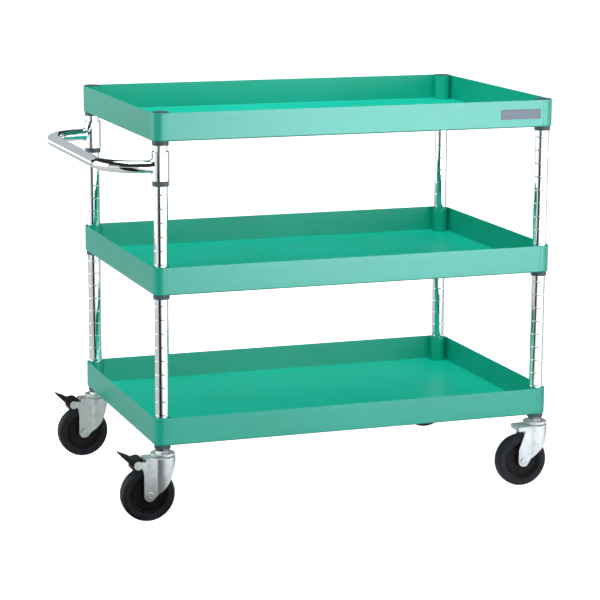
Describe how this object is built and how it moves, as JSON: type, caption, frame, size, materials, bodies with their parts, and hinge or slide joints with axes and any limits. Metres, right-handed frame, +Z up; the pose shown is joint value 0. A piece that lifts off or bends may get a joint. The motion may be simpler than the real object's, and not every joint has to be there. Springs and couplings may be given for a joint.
{
  "type": "three-tier tray trolley",
  "caption": "Push trolley with open sheet-metal trays on grooved chrome posts, a bent tube handle at one end and swivel casters, some with a brake pedal.",
  "frame": {"origin": "on the floor, under the middle of the whole trolley's bounding box", "axes": "+Z up; +X along the long side, away from the push handle; +Y to the back long side"},
  "size_m": [0.8706, 0.524, 0.7411],
  "materials": {
    "green_paint": "satin powder coat",
    "chrome": "bright chrome plate",
    "zinc_steel": "bright zinc plate",
    "plain_steel": "plain steel",
    "black_plastic": "moulded black plastic",
    "grey_cap": "moulded dark grey plastic",
    "hub_plastic": "moulded black nylon",
    "tyre_rubber": "smooth black rubber",
    "nameplate": "satin anodised"
  },
  "bodies": {
    "frame": {"tray_top": "green_paint", "corner_collars_top": "green_paint", "grip_sleeves_top": "black_plastic", "tray_middle": "green_paint", "corner_collars_middle": "green_paint", "grip_sleeves_middle": "black_plastic", "tray_bottom": "green_paint", "corner_collars_bottom": "green_paint", "grip_sleeves_bottom": "black_plastic", "post_front_left": "chrome", "post_front_right": "chrome", "post_back_left": "chrome", "post_back_right": "chrome", "post_caps": "grey_cap", "stem_sockets": "black_plastic", "handle_tube": "chrome", "handle_sleeve_front": "chrome", "handle_sleeve_back": "chrome", "handle_clips": "black_plastic", "nameplate": "nameplate", "front_left_stem": "zinc_steel", "front_left_race": "zinc_steel", "front_right_stem": "zinc_steel", "front_right_race": "zinc_steel", "back_left_stem": "zinc_steel", "back_left_race": "zinc_steel", "back_right_stem": "zinc_steel", "back_right_race": "zinc_steel"},
    "front_left_caster": {"front_left_fork": "zinc_steel", "front_left_balls": "plain_steel", "front_left_axle": "zinc_steel", "front_left_bush": "plain_steel", "front_left_brake_pins": "zinc_steel", "front_left_brake_spring": "plain_steel"},
    "front_left_wheel": {"front_left_hub": "hub_plastic", "front_left_tyre": "tyre_rubber"},
    "front_left_pedal": {"front_left_brake_pedal": "black_plastic"},
    "front_right_caster": {"front_right_fork": "zinc_steel", "front_right_balls": "plain_steel", "front_right_axle": "zinc_steel", "front_right_bush": "plain_steel"},
    "front_right_wheel": {"front_right_hub": "hub_plastic", "front_right_tyre": "tyre_rubber"},
    "back_left_caster": {"back_left_fork": "zinc_steel", "back_left_balls": "plain_steel", "back_left_axle": "zinc_steel", "back_left_bush": "plain_steel", "back_left_brake_pins": "zinc_steel", "back_left_brake_spring": "plain_steel"},
    "back_left_wheel": {"back_left_hub": "hub_plastic", "back_left_tyre": "tyre_rubber"},
    "back_left_pedal": {"back_left_brake_pedal": "black_plastic"},
    "back_right_caster": {"back_right_fork": "zinc_steel", "back_right_balls": "plain_steel", "back_right_axle": "zinc_steel", "back_right_bush": "plain_steel"},
    "back_right_wheel": {"back_right_hub": "hub_plastic", "back_right_tyre": "tyre_rubber"}
  },
  "joints": [
    {"name": "front_left_swivel", "type": "hinge", "parent": "frame", "child": "front_left_caster", "pos_m": [-0.32817, -0.2385, 0.118], "axis": [0, 0, 1], "continuous": true},
    {"name": "front_left_roll", "type": "hinge", "parent": "front_left_caster", "child": "front_left_wheel", "pos_m": [-0.35718, -0.2385, 0.05], "axis": [0, 1, 0], "continuous": true},
    {"name": "front_left_brake", "type": "hinge", "parent": "front_left_caster", "child": "front_left_pedal", "pos_m": [-0.37817, -0.2385, 0.1075], "axis": [0, -1, 0], "range_deg": [0, 13]},
    {"name": "front_right_swivel", "type": "hinge", "parent": "frame", "child": "front_right_caster", "pos_m": [0.41182, -0.2385, 0.118], "axis": [0, 0, 1], "continuous": true},
    {"name": "front_right_roll", "type": "hinge", "parent": "front_right_caster", "child": "front_right_wheel", "pos_m": [0.38283, -0.2385, 0.05], "axis": [0, 1, 0], "continuous": true},
    {"name": "back_left_swivel", "type": "hinge", "parent": "frame", "child": "back_left_caster", "pos_m": [-0.32817, 0.2385, 0.118], "axis": [0, 0, 1], "continuous": true},
    {"name": "back_left_roll", "type": "hinge", "parent": "back_left_caster", "child": "back_left_wheel", "pos_m": [-0.35718, 0.2385, 0.05], "axis": [0, 1, 0], "continuous": true},
    {"name": "back_left_brake", "type": "hinge", "parent": "back_left_caster", "child": "back_left_pedal", "pos_m": [-0.37817, 0.2385, 0.1075], "axis": [0, -1, 0], "range_deg": [0, 13]},
    {"name": "back_right_swivel", "type": "hinge", "parent": "frame", "child": "back_right_caster", "pos_m": [0.41182, 0.2385, 0.118], "axis": [0, 0, 1], "continuous": true},
    {"name": "back_right_roll", "type": "hinge", "parent": "back_right_caster", "child": "back_right_wheel", "pos_m": [0.38283, 0.2385, 0.05], "axis": [0, 1, 0], "continuous": true}
  ]
}
